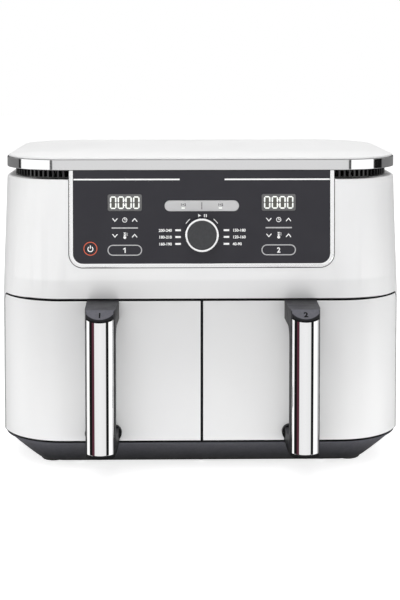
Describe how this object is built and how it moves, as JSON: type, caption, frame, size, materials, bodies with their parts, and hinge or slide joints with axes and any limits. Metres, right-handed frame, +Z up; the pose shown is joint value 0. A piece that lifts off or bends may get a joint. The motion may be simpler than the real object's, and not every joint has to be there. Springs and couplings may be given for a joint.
{
  "type": "twin-drawer air fryer",
  "caption": "Countertop air fryer with side-by-side pull-out baskets, crisper plates, front control panel with a push dial, and a ribbed air intake under a trim band.",
  "frame": {"origin": "centre of the whole outline, handles and exhaust grilles included, at table height", "axes": "+X to the right as seen from the front, -Y to the front where the drawers pull out, +Z up"},
  "size_m": [0.416, 0.3359, 0.326],
  "materials": {
    "housing_shell": "satin white",
    "base_skirt": "fine matt grain",
    "bottom_plate": "matt",
    "rubber_feet": "matt",
    "base_screws": "zinc plated",
    "bay_frame": "matt",
    "trim_band": "brushed",
    "top_cover": "satin white",
    "vent_grille": "matt",
    "panel_bezel": "silver",
    "panel_lens": "gloss",
    "panel_carrier": "matt",
    "display": "gloss",
    "control_board": "solder mask",
    "encoder_body": "plain",
    "chamber_liner": "aluminised",
    "air_shroud": "galvanised",
    "exhaust_grille": "matt",
    "heater": "oxidised",
    "heater_guard": "plain",
    "motor": "plain",
    "temperature_probes": "plain",
    "drawer_switches": "matt",
    "board_carrier": "matt",
    "power_board": "solder mask",
    "cord_gland": "matt",
    "drawer_front": "satin white",
    "drawer_backing": "matt",
    "basket": "ceramic non-stick coating",
    "handle_frame": "fine matt grain",
    "handle_cover": "polished",
    "handle_screws": "zinc plated",
    "crisper_plate": "ceramic non-stick coating",
    "plate_bumpers": "matt silicone",
    "hot_fan": "plain",
    "cooling_fan": "matt",
    "dial_knob": "soft satin",
    "dial_ring": "satin",
    "dial_shaft": "plain",
    "dial_plunger": "plain",
    "mode_rocker": "silver"
  },
  "bodies": {
    "housing": {"housing_shell": "housing_shell", "base_skirt": "base_skirt", "bottom_plate": "bottom_plate", "rubber_feet": "rubber_feet", "base_screws": "base_screws", "bay_frame": "bay_frame", "trim_band": "trim_band", "top_cover": "top_cover", "vent_grille_left": "vent_grille", "vent_grille_right": "vent_grille", "panel_bezel": "panel_bezel", "panel_lens": "panel_lens", "panel_carrier": "panel_carrier", "display_left": "display", "display_right": "display", "control_board": "control_board", "encoder_body": "encoder_body", "chamber_liner_left": "chamber_liner", "chamber_liner_right": "chamber_liner", "air_shroud_left": "air_shroud", "air_shroud_right": "air_shroud", "exhaust_grille_left": "exhaust_grille", "exhaust_grille_right": "exhaust_grille", "heater_left": "heater", "heater_right": "heater", "heater_guard_left": "heater_guard", "heater_guard_right": "heater_guard", "motor_left": "motor", "motor_right": "motor", "temperature_probes": "temperature_probes", "drawer_switches": "drawer_switches", "board_carrier": "board_carrier", "power_board": "power_board", "cord_gland": "cord_gland"},
    "left_drawer": {"drawer_front_left": "drawer_front", "drawer_backing_left": "drawer_backing", "basket_left": "basket", "handle_frame_left": "handle_frame", "handle_cover_left": "handle_cover", "handle_screws_left": "handle_screws"},
    "left_plate": {"crisper_plate_left": "crisper_plate", "plate_bumpers_left": "plate_bumpers"},
    "left_fan": {"hot_fan_left": "hot_fan", "cooling_fan_left": "cooling_fan"},
    "right_drawer": {"drawer_front_right": "drawer_front", "drawer_backing_right": "drawer_backing", "basket_right": "basket", "handle_frame_right": "handle_frame", "handle_cover_right": "handle_cover", "handle_screws_right": "handle_screws"},
    "right_plate": {"crisper_plate_right": "crisper_plate", "plate_bumpers_right": "plate_bumpers"},
    "right_fan": {"hot_fan_right": "hot_fan", "cooling_fan_right": "cooling_fan"},
    "plunger": {"dial_plunger": "dial_plunger"},
    "dial": {"dial_knob": "dial_knob", "dial_ring": "dial_ring", "dial_shaft": "dial_shaft"},
    "rocker": {"mode_rocker": "mode_rocker"}
  },
  "joints": [
    {"name": "left_drawer_slide", "type": "slide", "parent": "housing", "child": "left_drawer", "axis": [0, -1, 0], "range_m": [0, 0.25]},
    {"name": "left_plate_lift", "type": "slide", "parent": "left_drawer", "child": "left_plate", "axis": [0, 0, 1], "range_m": [0, 0.06]},
    {"name": "left_fan_spin", "type": "hinge", "parent": "housing", "child": "left_fan", "pos_m": [-0.09325, 0.027, 0.25], "axis": [0, 0, 1], "continuous": true},
    {"name": "right_drawer_slide", "type": "slide", "parent": "housing", "child": "right_drawer", "axis": [0, -1, 0], "range_m": [0, 0.25]},
    {"name": "right_plate_lift", "type": "slide", "parent": "right_drawer", "child": "right_plate", "axis": [0, 0, 1], "range_m": [0, 0.06]},
    {"name": "right_fan_spin", "type": "hinge", "parent": "housing", "child": "right_fan", "pos_m": [0.09325, 0.027, 0.25], "axis": [0, 0, 1], "continuous": true},
    {"name": "dial_push", "type": "slide", "parent": "housing", "child": "plunger", "axis": [0, 0.9991, -0.0413], "range_m": [0, 0.0012], "stiffness_N_per_m": 800, "springref_m": -0.002},
    {"name": "dial_turn", "type": "hinge", "parent": "plunger", "child": "dial", "pos_m": [0, -0.1053, 0.24544], "axis": [0, 0.9991, -0.0413], "continuous": true},
    {"name": "rocker_tilt", "type": "hinge", "parent": "housing", "child": "rocker", "pos_m": [0, -0.09762, 0.27375], "axis": [0, 0.0413, 0.9991], "range_deg": [-1.5, 1.5], "stiffness_Nm_per_rad": 0.3}
  ]
}
